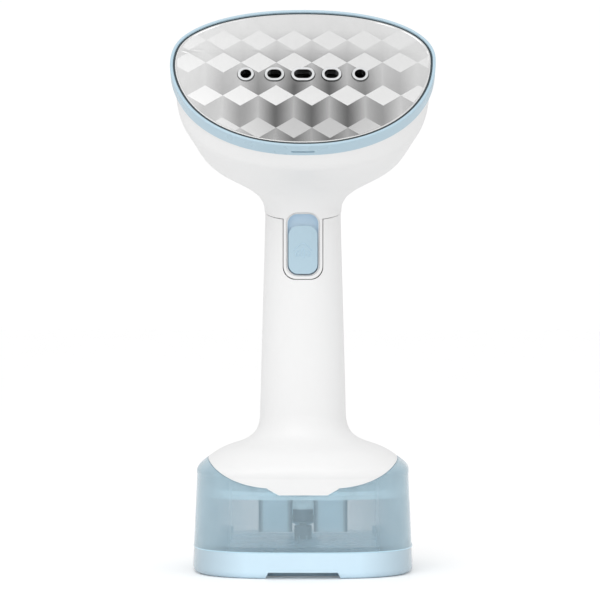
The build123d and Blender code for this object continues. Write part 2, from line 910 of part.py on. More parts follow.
with BuildPart() as circuit_board:
    add(block((-8.4, 8.4), (board_front, board_back), (84, 150)))
    for x, z in board_screw_places:
        add(cylinder_back(x, z, -6, -1, 1.1), mode=Mode.SUBTRACT)
save(circuit_board, "circuit_board")

with BuildPart() as board_parts:
    add(block((-6, 3), (-10.6, board_front), (94, 106)))
    add(cylinder_back(-2.5, 114, -12.0, board_front, 4.0))
    add(block((3.2, 7.6), (-8.0, board_front), (110, 120)))
    add(block((-1, 7), (-7.4, board_front), (130, 136)))
save(board_parts, "board_parts")

with BuildPart() as terminal_block:
    add(block((-8, 3.6), (-12.0, board_front), (84.5, 92)))
    for x in (-5, 0):
        add(cylinder_up(x, -8.4, 84, 90, 1.4), mode=Mode.SUBTRACT)
save(terminal_block, "terminal_block")

with BuildPart() as board_screws:
    for x, z in board_screw_places:
        add(cylinder_back(x, z, -10.5, board_back, 0.8))
        add(cylinder_back(x, z, board_back, board_back + 1.3, 1.7))
save(board_screws, "board_screws")

# ---- Pump ----

pump_top = pump_z + pump_length
coil_bottom = pump_z + 11
coil_top = pump_z + 30
plunger_bottom = pump_z + 15
plunger_top = pump_z + 27
with BuildPart() as pump_body:
    add(cylinder_up(0, pump_y, pump_z, pump_top, pump_radius))
    add(cylinder_up(0, pump_y, pump_z - 6, pump_z, barb_radius))
    add(cylinder_up(0, pump_y, pump_top, pump_top + 6, barb_radius))
    add(cylinder_up(0, pump_y, pump_z + 6, pump_top - 8, pump_bore), mode=Mode.SUBTRACT)
    add(cylinder_up(0, pump_y, pump_z - 10, pump_top + 10, barb_bore), mode=Mode.SUBTRACT)
save(pump_body, "pump_body")

with BuildPart() as pump_coil:
    add(cylinder_up(0, pump_y, coil_bottom, coil_top, coil_radius))
    add(cylinder_up(0, pump_y, 0, 200, pump_radius + running_gap), mode=Mode.SUBTRACT)
save(pump_coil, "pump_coil")

with BuildPart() as pump_yoke:
    add(cylinder_up(0, pump_y, coil_bottom - 1.3, coil_bottom, coil_radius))
    add(cylinder_up(0, pump_y, coil_top, coil_top + 1.3, coil_radius))
    add(cylinder_up(0, pump_y, 0, 200, pump_radius + running_gap), mode=Mode.SUBTRACT)
    yoke_front = pump_y - coil_radius
    add(block((-3.5, 3.5), (yoke_front - 1.3, yoke_front), (coil_bottom - 1.3, coil_top + 1.3)))
    add(block((-3.5, 3.5), (yoke_front - 0.1, yoke_front + 1.6), (coil_bottom - 1.3, coil_bottom)))
    add(block((-3.5, 3.5), (yoke_front - 0.1, yoke_front + 1.6), (coil_top, coil_top + 1.3)))
save(pump_yoke, "pump_yoke")

with BuildPart() as pump_plunger:
    add(cylinder_up(0, pump_y, plunger_bottom, plunger_top, pump_bore - running_gap))
    add(cylinder_up(0, pump_y, 0, 200, 0.9), mode=Mode.SUBTRACT)
save(pump_plunger, "pump_plunger")


def coil_spring(bottom, top, turns):
    """Compression spring on the pump's axis."""
    wire = 0.3
    with BuildPart() as spring:
        height = top - bottom - 2 * wire
        with BuildLine(Plane.XY.offset(bottom + wire).move(Location((0, pump_y, 0)))) as coil:
            Helix(pitch=height / turns, height=height, radius=2.3)
        with BuildSketch(Plane(origin=coil.line @ 0, z_dir=coil.line % 0)):
            Circle(wire)
        sweep(is_frenet=True)
    return spring.part


with BuildPart() as pump_spring_lower:
    add(coil_spring(pump_z + 6.1, plunger_bottom - 0.1, 4))
save(pump_spring_lower, "pump_spring_lower")

with BuildPart() as pump_spring_upper:
    add(coil_spring(plunger_top + 0.1, pump_top - 8.1, 4))
save(pump_spring_upper, "pump_spring_upper")

with BuildPart() as pump_mounts:
    for z in pump_saddles:
        add(cylinder_up(0, pump_y, z - 0.6, z + saddle_width + 0.6, mount_radius))
    add(cylinder_up(0, pump_y, 0, 200, pump_radius + running_gap), mode=Mode.SUBTRACT)
save(pump_mounts, "pump_mounts")

spigot_top = 52.0
inlet_hose = pipe(
    [
        (0, 0, 45.0),
        (0, 0, 57.5),
        (0, pump_y, 69.5),
        (0, pump_y, pump_z - 0.3),
    ],
    [14, 14],
    hose_radius,
    barb_radius + running_gap,
)
inlet_hose.label = "inlet_hose"
export_step(inlet_hose, "parts/inlet_hose.step")

hose_end = on_plate(0, -inlet_drop, heater_back - 2.5)
back_run = (pump_y - hose_end.Y) / cos(tilt)
turn_z = hose_end.Z - back_run * sin(tilt)
outlet_hose = pipe(
    [
        (0, pump_y, pump_top + 0.3),
        (0, pump_y, turn_z),
        tuple(hose_end),
    ],
    [16],
    hose_radius,
    barb_radius + running_gap,
)
outlet_hose.label = "outlet_hose"
export_step(outlet_hose, "parts/outlet_hose.step")

# ---- Dock under the shoulder ----

post_inner = 6.4
post_outer = 17.6
post_half_depth = 5.6
post_bottom = 18.6
post_wall = 1.4
spigot_radius = 2.5
dock_wall = 1.8
mouth_width, mouth_depth = shoulder_size(rim_side_z)


def mouth(inset):
    """Upright form that passes through the tank's mouth with a margin."""
    with BuildPart() as passage:
        with BuildSketch(Plane.XY.offset(dock_z)):
            add(section(mouth_width - inset, mouth_depth - inset, mouth_depth - inset, 2.7))
        extrude(amount=40)
    return passage.part


with BuildPart() as tray_room:
    add(mouth(tank_wall + dock_gap + dock_wall))
    add(slab(dock_z + dock_floor, 80), mode=Mode.INTERSECT)
tray_space = tray_room.part

with BuildPart() as dock_tray:
    add(mouth(tank_wall + dock_gap))
    add(lower_form(tank_wall + dock_gap), mode=Mode.INTERSECT)
    add(tray_space, mode=Mode.SUBTRACT)
    add(below_rim(0), mode=Mode.INTERSECT)
    for side in (-1, 1):
        across = sorted((side * post_inner, side * post_outer))
        hollow = sorted((side * (post_inner + post_wall), side * (post_outer - post_wall)))
        depth = post_half_depth - post_wall
        add(block(across, (-post_half_depth, post_half_depth), (post_bottom, dock_z)))
        add(
            block(hollow, (-depth, depth), (post_bottom + post_wall, dock_z + dock_floor)),
            mode=Mode.SUBTRACT,
        )
    add(cylinder_up(0, 0, 0, 60, spigot_radius + running_gap), mode=Mode.SUBTRACT)
    for x, y in dock_bosses:
        add(cylinder_up(x, y, 30, 60, 1.35), mode=Mode.SUBTRACT)
save(dock_tray, "dock_tray")

with BuildPart() as dock_screws:
    for x, y in dock_bosses:
        add(cylinder_up(x, y, dock_z, 47.5, 1.0))
        add(cylinder_up(x, y, dock_z - 0.7, dock_z, 2.2))
save(dock_screws, "dock_screws")

spigot_tip = 28.0
ring_z = 30.0
groove_half = 0.75
with BuildPart() as ring_groove:
    add(cylinder_up(0, 0, ring_z - groove_half, ring_z + groove_half, 4))
    add(cylinder_up(0, 0, ring_z - groove_half, ring_z + groove_half, 1.9), mode=Mode.SUBTRACT)
groove_space = ring_groove.part

with BuildPart() as dock_spigot:
    add(cylinder_up(0, 0, spigot_tip, dock_z + dock_floor, spigot_radius))
    add(cylinder_up(0, 0, dock_z + dock_floor, dock_z + dock_floor + 1.6, 5.0))
    add(cylinder_up(0, 0, dock_z + dock_floor + 1.6, spigot_top, barb_radius))
    add(groove_space, mode=Mode.SUBTRACT)
    add(cylinder_up(0, 0, 0, 100, barb_bore), mode=Mode.SUBTRACT)
save(dock_spigot, "dock_spigot")

socket_bore = 3.3
with BuildPart() as spigot_o_ring:
    with BuildSketch(Plane.XZ):
        with Locations((socket_bore - running_gap - 0.65, ring_z)):
            Circle(0.65)
    revolve(axis=Axis.Z)
save(spigot_o_ring, "spigot_o_ring")

# ---- Water tank ----

tank_floor_top = base_band + tank_floor
pad_front = 37.6
pad_back = tank_half_depth + 0.6
pad_half = 10.0
fill_z = 22.5
fill_radius = 6.0
cap_pin_z = 33.4
cap_pin_y = pad_back + 1.6
boss_places = [(34, 20), (-34, 20), (34, -20), (-34, -20)]

with BuildPart() as chamber_space:
    add(tank_hollow)
    add(slab(tank_floor_top, 80), mode=Mode.INTERSECT)
chamber = chamber_space.part

with BuildPart() as tank_shell:
    add(lower_form(0))
    add(slab(base_band, 80), mode=Mode.INTERSECT)
    # flat seat for the filling cap, with two ears for its pin
    add(block((-pad_half, pad_half), (pad_front, pad_back), (13.5, 31.5)))
    add(chamber, mode=Mode.SUBTRACT)
    add(below_rim(rim_gap), mode=Mode.INTERSECT)
    for side in (-1, 1):
        across = sorted((side * 5.2, side * 7.8))
        add(block(across, (39.2, cap_pin_y + 1.7), (30.6, cap_pin_z + 1.7)))
    with BuildSketch(Plane.YZ):
        with Locations((cap_pin_y, cap_pin_z)):
            Circle(1.02)
    extrude(amount=7.2, both=True, mode=Mode.SUBTRACT)
    add(cylinder_back(0, fill_z, 30, 50, fill_radius), mode=Mode.SUBTRACT)
    for x, y in boss_places:
        add(cylinder_up(x, y, tank_floor_top, tank_floor_top + 3.5, 3.0))
        add(cylinder_up(x, y, 0, tank_floor_top + 1.5, 1.05), mode=Mode.SUBTRACT)
save(tank_shell, "tank_shell")

pocket_inner = post_inner - 0.5
pocket_outer = post_outer + 0.5
pocket_half_depth = post_half_depth + 0.5
pocket_wall = 1.2
pocket_bottom = post_bottom - 0.8
with BuildPart() as tank_deck:
    add(lower_form(tank_wall + running_gap))
    add(slab(deck_z, deck_z + deck_thickness), mode=Mode.INTERSECT)
    for side in (-1, 1):
        hollow = sorted((side * pocket_inner, side * pocket_outer))
        add(
            block(hollow, (-pocket_half_depth, pocket_half_depth), (pocket_bottom, 50)),
            mode=Mode.SUBTRACT,
        )
    add(cylinder_up(0, 0, 26, deck_z, 4.5))
    add(cylinder_up(0, 0, 27.2, 50, socket_bore), mode=Mode.SUBTRACT)
    add(cylinder_up(0, 0, 20, 50, 1.4), mode=Mode.SUBTRACT)
save(tank_deck, "tank_deck")

# Two boxes welded under the deck, which the dock's posts drop into.
with BuildPart() as latch_pockets:
    for side in (-1, 1):
        across = sorted((side * (pocket_inner - pocket_wall), side * (pocket_outer + pocket_wall)))
        depth = pocket_half_depth + pocket_wall
        add(block(across, (-depth, depth), (pocket_bottom - pocket_wall, deck_z)))
        hollow = sorted((side * pocket_inner, side * pocket_outer))
        add(
            block(hollow, (-pocket_half_depth, pocket_half_depth), (pocket_bottom, deck_z)),
            mode=Mode.SUBTRACT,
        )
save(latch_pockets, "latch_pockets")

with BuildPart() as outlet_valve:
    add(cylinder_up(0, 0, 20.6, 26, 4.4))
    add(cylinder_up(0, 0, 22.4, 24.6, 3.2), mode=Mode.SUBTRACT)
    add(cylinder_up(0, 0, 24, 30, 1.4), mode=Mode.SUBTRACT)
    add(cylinder_up(0, 0, 20, 23, 1.6), mode=Mode.SUBTRACT)
save(outlet_valve, "outlet_valve")

with BuildPart() as valve_flap:
    add(cylinder_up(0, 0, 22.5, 23.3, 2.8))
save(valve_flap, "valve_flap")

with BuildPart() as dip_tube:
    add(cylinder_up(0, 0, 15.4, 22.3, 1.55))
    add(cylinder_up(0, 0, 10, 30, 0.9), mode=Mode.SUBTRACT)
save(dip_tube, "dip_tube")

with BuildPart() as water_filter:
    add(cylinder_up(0, 0, tank_floor_top, 18.6, 3.8))
    add(cylinder_up(0, 0, tank_floor_top, 15.3, 2.8), mode=Mode.SUBTRACT)
    add(cylinder_up(0, 0, 10, 30, 1.6), mode=Mode.SUBTRACT)
    for turn in range(6):
        with BuildSketch(Plane.XY.offset(tank_floor_top)):
            with Locations(Location((0, 0), turn * 60)):
                with Locations((3.4, 0)):
                    Rectangle(1.8, 1.2)
        extrude(amount=1.6, mode=Mode.SUBTRACT)
save(water_filter, "water_filter")

notch_half_bottom = 16.0
notch_half_top = 14.6
notch_height = 2.8
notch_back = -28.0
foot_pads_at = [(27, 30), (-27, 30), (27, -26), (-27, -26)]
foot_radius = 5.0
foot_recess = 1.2
with BuildPart() as base_room:
    add(lower_form(base_wall))
    add(slab(base_wall, base_band), mode=Mode.INTERSECT)
    # walls left around the notch
    add(
        block(
            (-notch_half_bottom - 3.0, notch_half_bottom + 3.0),
            (-45, notch_back + base_wall),
            (0, notch_height + base_wall),
        ),
        mode=Mode.SUBTRACT,
    )
base_space = base_room.part

with BuildPart() as tank_base:
    add(lower_form(0))
    add(slab(0, base_band), mode=Mode.INTERSECT)
    fillet(tank_base.faces().sort_by(Axis.Z)[0].edges(), base_round)
    add(base_space, mode=Mode.SUBTRACT)
    with BuildSketch(Plane.XZ.offset(-notch_back)):
        with BuildLine():
            Polyline(
                (-notch_half_bottom, -1),
                (-notch_half_bottom, 0),
                (-notch_half_top, notch_height),
                (notch_half_top, notch_height),
                (notch_half_bottom, 0),
                (notch_half_bottom, -1),
                close=True,
            )
        make_face()
    extrude(amount=20, mode=Mode.SUBTRACT)
    for x, y in boss_places:
        add(cylinder_up(x, y, base_wall, base_band, 3.0))
        add(cylinder_up(x, y, 0, base_band, 1.35), mode=Mode.SUBTRACT)
        add(cylinder_up(x, y, 0, 2.4, 2.5), mode=Mode.SUBTRACT)
    for x, y in foot_pads_at:
        add(cylinder_up(x, y, 0, foot_recess, foot_radius + running_gap), mode=Mode.SUBTRACT)
save(tank_base, "tank_base")

with BuildPart() as base_screws:
    for x, y in boss_places:
        add(cylinder_up(x, y, 1.0, 2.4, 2.2))
        add(cylinder_up(x, y, 2.4, tank_floor_top + 1.2, 1.0))
save(base_screws, "base_screws")

with BuildPart() as foot_pads:
    for x, y in foot_pads_at:
        add(cylinder_up(x, y, 0, foot_recess, foot_radius))
save(foot_pads, "foot_pads")

# ---- Filling cap ----

cap_radius = 8.2
cap_front = pad_back + moving_gap
cap_back = cap_front + 2.0
plug_radius = fill_radius - moving_gap
with BuildPart() as fill_cap:
    add(cylinder_back(0, fill_z, cap_front, cap_back, cap_radius))
    add(block((-4.6, 4.6), (cap_front + 0.3, cap_back), (fill_z + 6, cap_pin_z)))
    with BuildSketch(Plane.YZ):
        with Locations((cap_pin_y, cap_pin_z)):
            Circle(1.8)
    extrude(amount=4.8, both=True)
    add(cylinder_back(0, fill_z, pad_back - 2.4, cap_front, plug_radius))
    chamfer(fill_cap.faces().sort_by(Axis.Y)[0].edges(), 0.7)
    with BuildSketch(Plane.YZ):
        with Locations((cap_pin_y, cap_pin_z)):
            Circle(1.05)
    extrude(amount=6, both=True, mode=Mode.SUBTRACT)
save(fill_cap, "fill_cap")

with BuildPart() as cap_seal:
    add(cylinder_back(0, fill_z, pad_back + 0.03, cap_front, 7.6))
    add(cylinder_back(0, fill_z, 30, 60, plug_radius + 0.03), mode=Mode.SUBTRACT)
save(cap_seal, "cap_seal")

with BuildPart() as cap_pin:
    with BuildSketch(Plane.YZ):
        with Locations((cap_pin_y, cap_pin_z)):
            Circle(1.0)
    extrude(amount=7.2, both=True)
save(cap_pin, "cap_pin")
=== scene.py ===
import math
import bmesh
import bpy
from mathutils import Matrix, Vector
from mathutils.bvhtree import BVHTree


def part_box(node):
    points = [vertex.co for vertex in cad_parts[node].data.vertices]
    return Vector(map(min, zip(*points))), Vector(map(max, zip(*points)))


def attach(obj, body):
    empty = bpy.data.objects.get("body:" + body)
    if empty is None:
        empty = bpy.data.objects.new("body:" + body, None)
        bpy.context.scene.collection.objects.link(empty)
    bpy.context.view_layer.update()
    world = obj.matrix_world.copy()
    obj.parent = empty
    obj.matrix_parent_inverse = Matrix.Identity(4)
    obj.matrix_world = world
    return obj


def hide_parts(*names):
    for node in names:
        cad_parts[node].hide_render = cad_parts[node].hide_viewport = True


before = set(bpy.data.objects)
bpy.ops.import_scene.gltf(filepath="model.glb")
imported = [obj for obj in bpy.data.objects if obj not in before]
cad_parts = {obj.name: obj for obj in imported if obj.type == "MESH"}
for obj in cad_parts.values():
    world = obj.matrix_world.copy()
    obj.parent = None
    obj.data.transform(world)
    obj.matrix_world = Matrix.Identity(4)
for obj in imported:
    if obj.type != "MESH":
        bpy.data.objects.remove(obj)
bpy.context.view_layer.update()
bpy.ops.object.select_all(action="DESELECT")


# ---- Casing ----
# White shells of the bowl, the grip and the shoulder, moulded in ABS with a fine satin grain.
# The two grip shells are screwed together from the rear and the bowl is glued on a sleeve.

def shader_group(name, inputs, outputs):
    """An empty shader node group with its sockets, its input node and its output node."""
    group = bpy.data.node_groups.new(name, "ShaderNodeTree")
    for label, kind, value in inputs:
        socket = group.interface.new_socket(label, in_out="INPUT", socket_type="NodeSocket" + kind)
        socket.default_value = value
    for label, kind in outputs:
        group.interface.new_socket(label, in_out="OUTPUT", socket_type="NodeSocket" + kind)
    entry = group.nodes.new("NodeGroupInput")
    leave = group.nodes.new("NodeGroupOutput")
    return group, entry, leave


def noise_at(tree, scale, detail, stretch=(1, 1, 1)):
    """Noise over the piece, with its pattern pressed together along each axis by a factor."""
    place = tree.nodes.new("ShaderNodeTexCoord")
    turn = tree.nodes.new("ShaderNodeMapping")
    turn.inputs["Scale"].default_value = stretch
    noise = tree.nodes.new("ShaderNodeTexNoise")
    noise.inputs["Scale"].default_value = scale
    noise.inputs["Detail"].default_value = detail
    tree.links.new(place.outputs["Object"], turn.inputs["Vector"])
    tree.links.new(turn.outputs["Vector"], noise.inputs["Vector"])
    return noise


def map_range(tree, source, low, high, from_low=0.3, from_high=0.7):
    """A value carried from one range to another."""
    spread = tree.nodes.new("ShaderNodeMapRange")
    spread.inputs["From Min"].default_value = from_low
    spread.inputs["From Max"].default_value = from_high
    spread.inputs["To Min"].default_value = low
    spread.inputs["To Max"].default_value = high
    tree.links.new(source, spread.inputs["Value"])
    return spread.outputs["Result"]


def arithmetic(tree, operation, first, second):
    """A value worked out from two others, each a socket or a plain number."""
    node = tree.nodes.new("ShaderNodeMath")
    node.operation = operation
    for socket, value in zip(node.inputs, (first, second)):
        if isinstance(value, (int, float)):
            socket.default_value = value
        else:
            tree.links.new(value, socket)
    return node.outputs[0]


def scaled(tree, color, amount):
    """A colour, from a socket or given, made darker or lighter by a changing amount."""
    node = tree.nodes.new("ShaderNodeVectorMath")
    node.operation = "SCALE"
    if isinstance(color, tuple):
        node.inputs[0].default_value = color
    else:
        tree.links.new(color, node.inputs[0])
    tree.links.new(amount, node.inputs["Scale"])
    return node.outputs[0]


def moulded_grain():
    """Fine grain, soft cloudiness and faint handling marks of a moulded surface."""
    group, entry, leave = shader_group(
        "moulded grain",
        [
            ("Color", "Color", (1, 1, 1, 1)),
            ("Roughness", "Float", 0.4),
            ("Cloud", "Float", 0.03),
            ("Grain", "Float", 0.04),
        ],
        [("Color", "Color"), ("Roughness", "Float"), ("Normal", "Vector")],
    )
    cloud = noise_at(group, 38, 3)
    shade = map_range(group, cloud.outputs["Fac"], -1, 0)
    strength = group.nodes.new("ShaderNodeMath")
    strength.operation = "MULTIPLY_ADD"
    strength.inputs[2].default_value = 1.0
    group.links.new(shade, strength.inputs[0])
    group.links.new(entry.outputs["Cloud"], strength.inputs[1])
    tone = scaled(group, entry.outputs["Color"], strength.outputs[0])
    marks = noise_at(group, 120, 5, (1, 1, 0.35))
    spread = map_range(group, marks.outputs["Fac"], -0.05, 0.06)
    rough = arithmetic(group, "ADD", entry.outputs["Roughness"], spread)
    fine = noise_at(group, 2600, 2)
    bump = group.nodes.new("ShaderNodeBump")
    bump.inputs["Distance"].default_value = 0.0001
    group.links.new(entry.outputs["Grain"], bump.inputs["Strength"])
    group.links.new(fine.outputs["Fac"], bump.inputs["Height"])
    group.links.new(tone, leave.inputs["Color"])
    group.links.new(rough, leave.inputs["Roughness"])
    group.links.new(bump.outputs[0], leave.inputs["Normal"])
    return group


grain_group = moulded_grain()


def new_material(name):
    """A material with its shader, and the shader node itself."""
    material = bpy.data.materials.new(name)
    material.use_nodes = True
    return material, material.node_tree, material.node_tree.nodes["Principled BSDF"]


def moulded(name, color, roughness, cloud=0.03, grain=0.04, coat=0.0):
    """A moulded plastic or rubber with its own colour, gloss and grain."""
    material, tree, shader = new_material(name)
    surface = tree.nodes.new("ShaderNodeGroup")
    surface.node_tree = grain_group
    surface.inputs["Color"].default_value = (*color, 1)
    surface.inputs["Roughness"].default_value = roughness
    surface.inputs["Cloud"].default_value = cloud
    surface.inputs["Grain"].default_value = grain
    shader.inputs["Coat Weight"].default_value = coat
    shader.inputs["Coat Roughness"].default_value = 0.08
    tree.links.new(surface.outputs["Color"], shader.inputs["Base Color"])
    tree.links.new(surface.outputs["Roughness"], shader.inputs["Roughness"])
    tree.links.new(surface.outputs["Normal"], shader.inputs["Normal"])
    return material


def finish(material, *names):
    """Give a material to pieces of the frame."""
    for name in names:
        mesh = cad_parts[name].data
        mesh.materials.clear()
        mesh.materials.append(material)


casing_color = (0.79, 0.79, 0.79)
casing_white = moulded("casing white", casing_color, 0.42, cloud=0.012)
finish(casing_white, "head_shell", "handle_front_shell", "handle_rear_shell", "neck_sleeve")


# ---- Ring and seals ----
# Pale blue ring that holds the plate, moulded with a soft gloss.
# A thin dark silicone seal shows as a line between the ring and the plate.

ring_blue = moulded("ring blue", (0.42, 0.565, 0.655), 0.3, cloud=0.03, coat=0.25)
finish(ring_blue, "bezel_ring")
seal_dark = moulded("seal dark", (0.035, 0.055, 0.065), 0.6, cloud=0.2, grain=0.1)
finish(
    seal_dark,
    "plate_gasket", "chamber_seal", "cord_gland", "spigot_o_ring", "foot_pads", "cap_seal",
)


# ---- Steam plate ----
# Polished stainless sheet pressed with a pattern of stacked cubes, a fraction of a millimetre deep.
# A narrow flat border is left along its edge and around the five steam outlets.
# The facets' shade and reflections are painted into the steel's colour. A painted glare washes them
# out towards the top and sides. The edge border gets a painted highlight and the border round the
# outlets gets painted shade.

cube_width = 0.015
cube_rise = 0.00525  # half the height of a diamond
cube_step = 0.00013  # depth of one step of the pattern
border = 0.0005
border_slope = 0.0003
# height of each row of diamonds above the plate's lower edge, and the place of one diamond across
cube_rows = ((0.0077, -0.0038), (0.0245, 0.0037), (0.0420, -0.0038), (0.0540, -0.0038))
pattern_top = 0.066
# the flat border inside this band round the outlets gets painted shade
outlet_height, outlet_reach = 0.0355, 0.006  # band around the outlets, up the plate
outlet_span = 0.031  # reach of the band to either side
# how far the painted shade darkens the outlets' border
painted_outlet_shade_level = 0.35

plate_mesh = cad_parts["steam_plate"].data
broadest = max(plate_mesh.polygons, key=lambda face: face.area)
plate_out = broadest.normal.copy()
if plate_out.y > 0:
    plate_out.negate()
plate_up = plate_out.cross(Vector((1, 0, 0)))
plate_foot = min(vertex.co.dot(plate_up) for vertex in plate_mesh.vertices)
plate_face = max(vertex.co.dot(plate_out) for vertex in plate_mesh.vertices)


def across_cube(x, middle):
    """From 0 at the middle of a diamond to 1 at its side corners."""
    half = cube_width / 2
    return abs((x - middle + half) % cube_width - half) / half


def cube_pattern(x, height):
    """Depth in steps, and painted shade from 0 dark to 1 bright, at a place on the plate."""
    lower, lower_across = None, 0.0
    for row, (middle_height, middle) in enumerate(cube_rows):
        across = across_cube(x, middle)
        reach = cube_rise * (1 - across)
        if height > middle_height + reach:
            lower, lower_across = middle_height + reach, across
            continue
        if height >= middle_height - reach:
            return 1 - (height - middle_height) / cube_rise, 0.6 if row == 0 else 1.0
        deep = 2 - across
        if lower is None:
            return deep, 0.08 + 0.35 * across
        share = (height - lower) / (middle_height - reach - lower)
        depth = lower_across + (deep - lower_across) * share
        if row == 3:
            return depth, min(1.0, 0.2 + 0.5 * share + 0.4 * (1 - across))
        return depth, 0.06 + 0.52 * across ** 1.3
    share = min(1.0, (height - lower) / (pattern_top - lower))
    return lower_across * (1 - share), min(1.0, 0.35 + share + 0.5 * (1 - lower_across))


def plate_place(point):
    """Place of a point across and up the plate."""
    return point.x, point.dot(plate_up) - plate_foot


def select_faces(sheet, wanted):
    """Select only the faces that a test accepts, in edit mode."""
    shape = bmesh.from_edit_mesh(sheet.data)
    for face in shape.faces:
        face.select_set(False)
    for face in shape.faces:
        if wanted(face):
            face.select_set(True)
    bmesh.update_edit_mesh(sheet.data)


steam_sheet = bpy.data.objects.new("steam_sheet", plate_mesh.copy())
bpy.context.collection.objects.link(steam_sheet)
bpy.context.view_layer.objects.active = steam_sheet
steam_sheet.select_set(True)
bpy.ops.object.mode_set(mode="EDIT")
bpy.ops.mesh.customdata_custom_splitnormals_clear()
bpy.ops.mesh.select_all(action="SELECT")
bpy.ops.mesh.remove_doubles(threshold=0.000002)


def on_front(face):
    """Whether a face lies on the front of the sheet."""
    middle = face.calc_center_median()
    return face.normal.dot(plate_out) > 0.99 and middle.dot(plate_out) > plate_face - 0.0001


select_faces(steam_sheet, on_front)
bpy.ops.mesh.inset(thickness=border, depth=0)
bpy.ops.mesh.inset(thickness=border_slope, depth=0)
shape = bmesh.from_edit_mesh(steam_sheet.data)
inside = shape.faces.layers.int.new("pattern")
for face in shape.faces:
    face[inside] = 1 if face.select else 0
bmesh.update_edit_mesh(steam_sheet.data)


def cut_pattern(low, high, point_x, point_height, slope):
    """Cut the pattern's faces between two heights along a line of a given slope."""
    layer = bmesh.from_edit_mesh(steam_sheet.data).faces.layers.int["pattern"]

    def crossed(face):
        height = plate_place(face.calc_center_median())[1]
        return face[layer] == 1 and low < height < high

    select_faces(steam_sheet, crossed)
    origin = Vector((point_x, 0, 0)) + plate_up * (plate_foot + point_height)
    origin += plate_out * plate_face
    normal = Vector((1, 0, 0)) if slope is None else plate_up - Vector((slope, 0, 0))
    bpy.ops.mesh.bisect(plane_co=origin, plane_no=normal, threshold=0.000001)


for middle_height, middle in cube_rows:
    cut_pattern(0, 1, 0, middle_height - cube_rise, 0)
    cut_pattern(0, 1, 0, middle_height + cube_rise, 0)
for middle_height, middle in cube_rows:
    for count in range(-4, 5):
        corner = middle + (count + 0.5) * cube_width
        for side in (-1, 1):
            slope = side * cube_rise / (cube_width / 2)
            cut_pattern(
                middle_height - cube_rise, middle_height + cube_rise, corner, middle_height, slope
            )
for count in range(-8, 9):
    cut_pattern(0, 1, cube_rows[0][1] + count * cube_width / 2, 0, None)

shape = bmesh.from_edit_mesh(steam_sheet.data)
inside = shape.faces.layers.int["pattern"]
for vertex in shape.verts:
    if any(face[inside] == 1 for face in vertex.link_faces):
        depth = cube_pattern(*plate_place(vertex.co))[0]
        vertex.co -= plate_out * depth * cube_step
# painted shade, reflections and highlights of the plate, kept at each face corner
tone = shape.loops.layers.float_color.new("painted_facet_shade")
for face in shape.faces:
    middle_x, middle_height = plate_place(face.calc_center_median())
    for loop in face.loops:
        painted_outlet_shade = 1.0
        if face[inside] == 1:
            x, height = plate_place(loop.vert.co)
            nudged = (x + (middle_x - x) * 0.02, height + (middle_height - height) * 0.02)
            value = cube_pattern(*nudged)[1]
        # painted shade on the flat border round the outlets
        elif abs(middle_height - outlet_height) < outlet_reach and abs(middle_x) < outlet_span:
            value, painted_outlet_shade = 0.0, painted_outlet_shade_level
        # painted highlight on the flat border along the plate's edge; the sheet's other faces get
        # the same
        else:
            value = 1.0
        loop[tone] = (value, value, value, painted_outlet_shade)
bmesh.update_edit_mesh(steam_sheet.data)
bpy.ops.object.mode_set(mode="OBJECT")
for polygon in steam_sheet.data.polygons:
    polygon.use_smooth = False


def polished_steel(name):
    """Mirror-like stainless with fine brushing, with its facets' slope shade and reflections
    painted into its colour.
    """
    material, tree, shader = new_material(name)
    tone = tree.nodes.new("ShaderNodeAttribute")
    tone.attribute_name = "painted_facet_shade"
    # painted shade and reflections of the facets, as a level of colour
    pressed = map_range(tree, tone.outputs["Fac"], 0.085, 0.58, 0, 1)
    place = tree.nodes.new("ShaderNodeTexCoord")
    centre = tree.nodes.new("ShaderNodeMapping")
    centre.vector_type = "TEXTURE"
    # middle and reach of the area where the painted facet shade is strongest; further out a painted
    # glare washes it towards pale
    bright_height, bright_side, bright_reach = 0.014, 0.004, 0.053
    bright = plate_up * (plate_foot + bright_height) + plate_out * plate_face
    centre.inputs["Location"].default_value = bright + Vector((bright_side, 0, 0))
    centre.inputs["Scale"].default_value = (bright_reach, bright_reach, bright_reach)
    away = tree.nodes.new("ShaderNodeVectorMath")
    away.operation = "LENGTH"
    tree.links.new(place.outputs["Object"], centre.inputs["Vector"])
    tree.links.new(centre.outputs["Vector"], away.inputs[0])
    painted_glare_fade = map_range(tree, away.outputs["Value"], 0.0, 0.93, 0.32, 1.08)
    brushing = noise_at(tree, 2400, 3, (1, 0.1, 0.1))
    streak = map_range(tree, brushing.outputs["Fac"], 0.995, 1.005)
    mixed = tree.nodes.new("ShaderNodeMix")
    mixed.inputs["B"].default_value = 0.63
    tree.links.new(painted_glare_fade, mixed.inputs["Factor"])
    tree.links.new(pressed, mixed.inputs["A"])
    level = arithmetic(tree, "MULTIPLY", mixed.outputs["Result"], streak)
    # painted shade on the border round the outlets
    with_painted_outlet_shade = arithmetic(tree, "MULTIPLY", level, tone.outputs["Alpha"])
    tree.links.new(with_painted_outlet_shade, shader.inputs["Base Color"])
    rough = map_range(tree, brushing.outputs["Fac"], 0.22, 0.27)
    tree.links.new(rough, shader.inputs["Roughness"])
    shader.inputs["Metallic"].default_value = 1.0
    bump = tree.nodes.new("ShaderNodeBump")
    bump.inputs["Strength"].default_value = 0.006
    bump.inputs["Distance"].default_value = 0.0001
    tree.links.new(brushing.outputs["Fac"], bump.inputs["Height"])
    tree.links.new(bump.outputs[0], shader.inputs["Normal"])
    return material


steam_sheet.data.materials.clear()
steam_sheet.data.materials.append(polished_steel("patterned steel"))
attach(steam_sheet, "handset")
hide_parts("steam_plate")


# ---- Eyelets and metal parts ----
# Turned or pressed metal pieces: bright eyelets in the plate's openings, zinc-plated screws and
# pins, the heater's element, and the pump's iron parts. Each is brushed or drawn in one direction.

